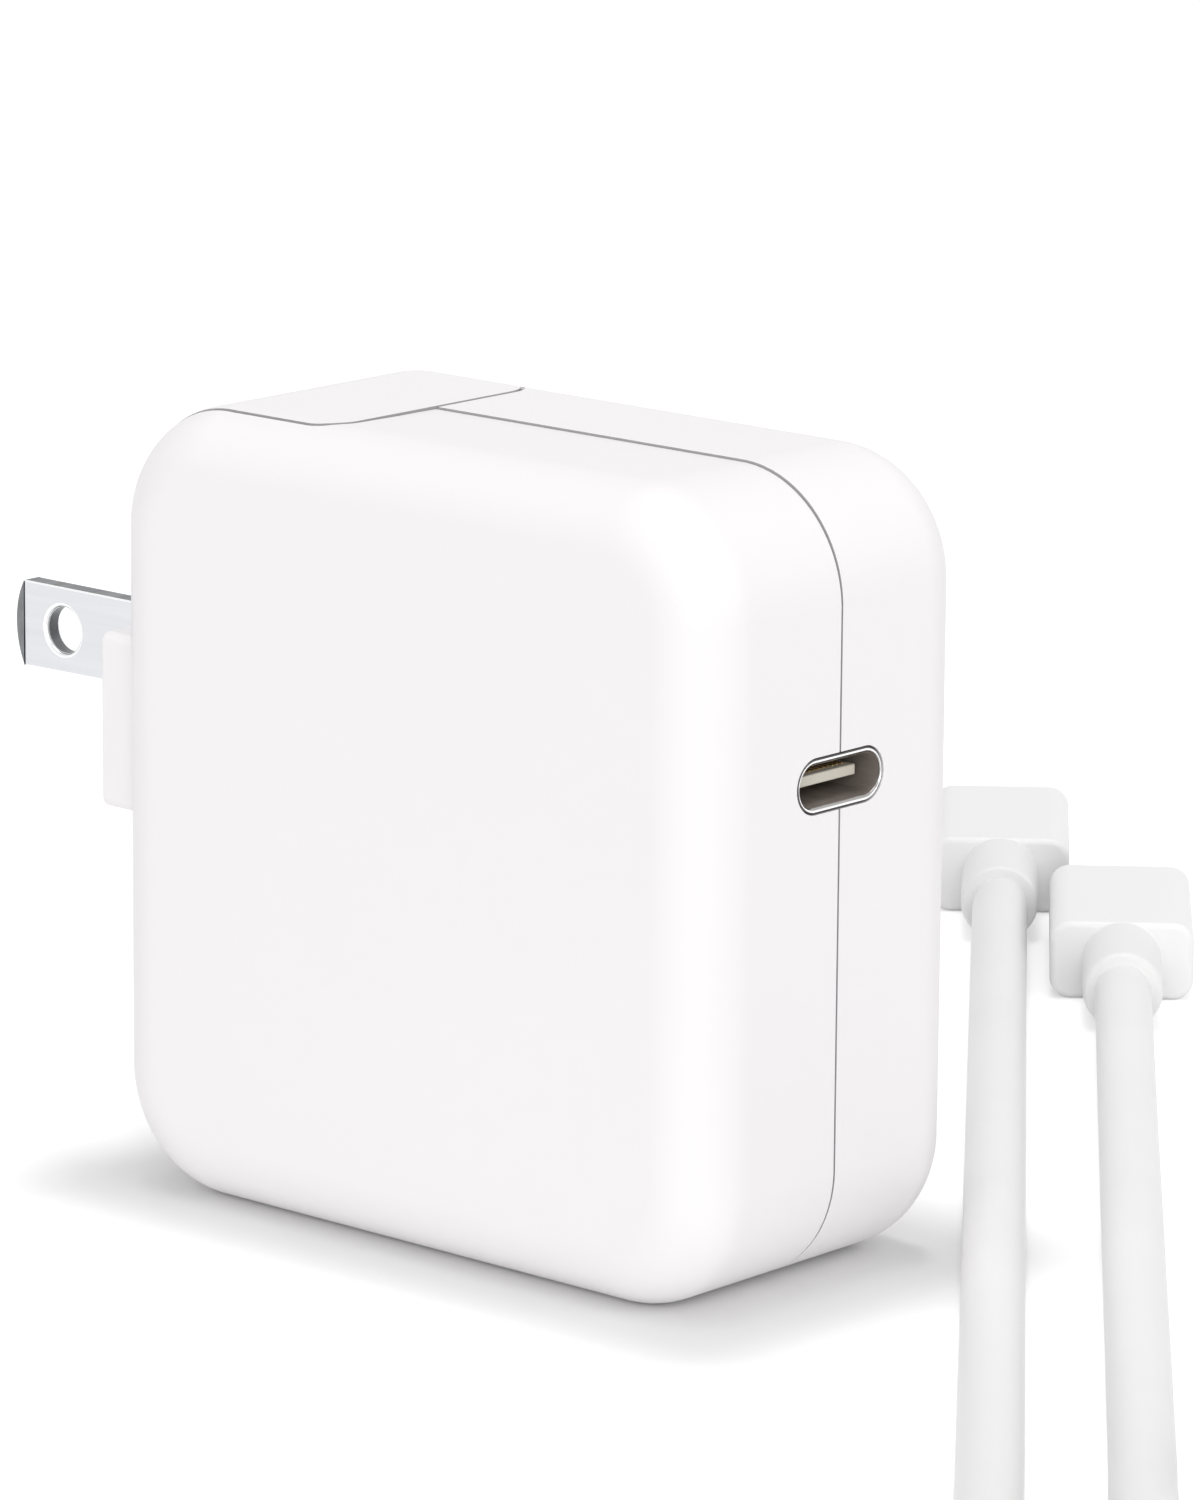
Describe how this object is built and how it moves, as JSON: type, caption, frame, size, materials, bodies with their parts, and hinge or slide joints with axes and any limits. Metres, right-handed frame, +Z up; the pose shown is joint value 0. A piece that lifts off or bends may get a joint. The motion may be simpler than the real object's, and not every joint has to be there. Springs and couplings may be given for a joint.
{
  "type": "laptop power adapter",
  "caption": "Square white USB-C wall adapter with soft rounded edges, a slide-off plug module with folding flat blades, and a loose coiled USB-C cable.",
  "frame": {"origin": "centre of the flat face that the adapter stands on", "axes": "+X towards the USB-C port side and -X towards the blades, the large faces look along -Y and +Y, +Z up"},
  "size_m": [0.2194, 0.1683, 0.057],
  "materials": {
    "case": "smooth, slightly glossy moulded plastic",
    "inner_plastic": "moulded insulating plastic",
    "board": "solder-masked board",
    "film": "thin insulating film",
    "copper": "bare rolled copper",
    "pad": "soft thermal pad",
    "pin_metal": "nickel plate",
    "blade_metal": "nickel-plated, finely brushed",
    "spring_metal": "bare spring bronze",
    "steel": "spring steel",
    "ferrite": "sintered ferrite",
    "winding": "enamelled copper wire",
    "winding_tape": "copper winding under yellow tape",
    "bobbin": "moulded phenolic",
    "fuse_body": "moulded sleeve",
    "film_capacitor": "moulded box",
    "disc_capacitor": "dipped coating",
    "chip": "moulded epoxy",
    "can_sleeve": "shrink-sleeved can",
    "can": "bare can",
    "heatsink": "rolled sheet",
    "port_metal": "polished stainless steel",
    "tongue": "moulded polymer",
    "gilt": "gilt contacts",
    "plug_metal": "polished stainless steel",
    "grip": "smooth moulded plastic",
    "cable_jacket": "satin soft jacket",
    "tie": "plain strap"
  },
  "bodies": {
    "adapter": {"front_shell": "case", "back_shell": "case", "main_board": "board", "insulating_film": "film", "heat_spreader": "copper", "thermal_pad": "pad", "inlet_well": "inner_plastic", "inlet_pins": "pin_metal", "ground_stud": "pin_metal", "stud_nut": "pin_metal", "fuse": "fuse_body", "choke_core": "ferrite", "choke_windings": "winding", "x_capacitor": "film_capacitor", "bridge_rectifier": "chip", "bulk_capacitor_a": "can_sleeve", "bulk_capacitor_b": "can_sleeve", "bulk_capacitor_c": "can_sleeve", "primary_switch": "chip", "switch_heatsink": "heatsink", "transformer_core": "ferrite", "transformer_bobbin": "bobbin", "transformer_winding": "winding_tape", "y_capacitor": "disc_capacitor", "primary_controller": "chip", "optocoupler": "chip", "sync_rectifier": "chip", "output_capacitor_a": "can", "output_capacitor_b": "can", "port_board": "board", "output_choke": "ferrite", "power_controller": "chip", "port_shell": "port_metal", "port_tongue": "tongue", "port_contacts": "gilt", "plug_a_shell": "plug_metal", "plug_a_grip": "grip", "plug_a_sleeve": "cable_jacket", "plug_b_shell": "plug_metal", "plug_b_grip": "grip", "plug_b_sleeve": "cable_jacket", "cable_lead_a": "cable_jacket", "cable_lead_b": "cable_jacket", "cable_coil": "cable_jacket", "cable_tie": "tie"},
    "plug_module": {"plug_housing": "case", "plug_cover": "inner_plastic", "socket_nose": "inner_plastic", "socket_contacts": "spring_metal", "contact_springs": "spring_metal", "axle_clips": "case", "detent_spring": "steel"},
    "blades": {"front_blade": "blade_metal", "back_blade": "blade_metal", "blade_carrier": "inner_plastic"}
  },
  "joints": [
    {"name": "module_slide", "type": "slide", "parent": "adapter", "child": "plug_module", "axis": [0, 0, 1], "range_m": [0, 0.048]},
    {"name": "blade_fold", "type": "hinge", "parent": "plug_module", "child": "blades", "pos_m": [-0.0285, 0, 0.0372], "axis": [0, -1, 0], "range_deg": [0, 90]}
  ]
}
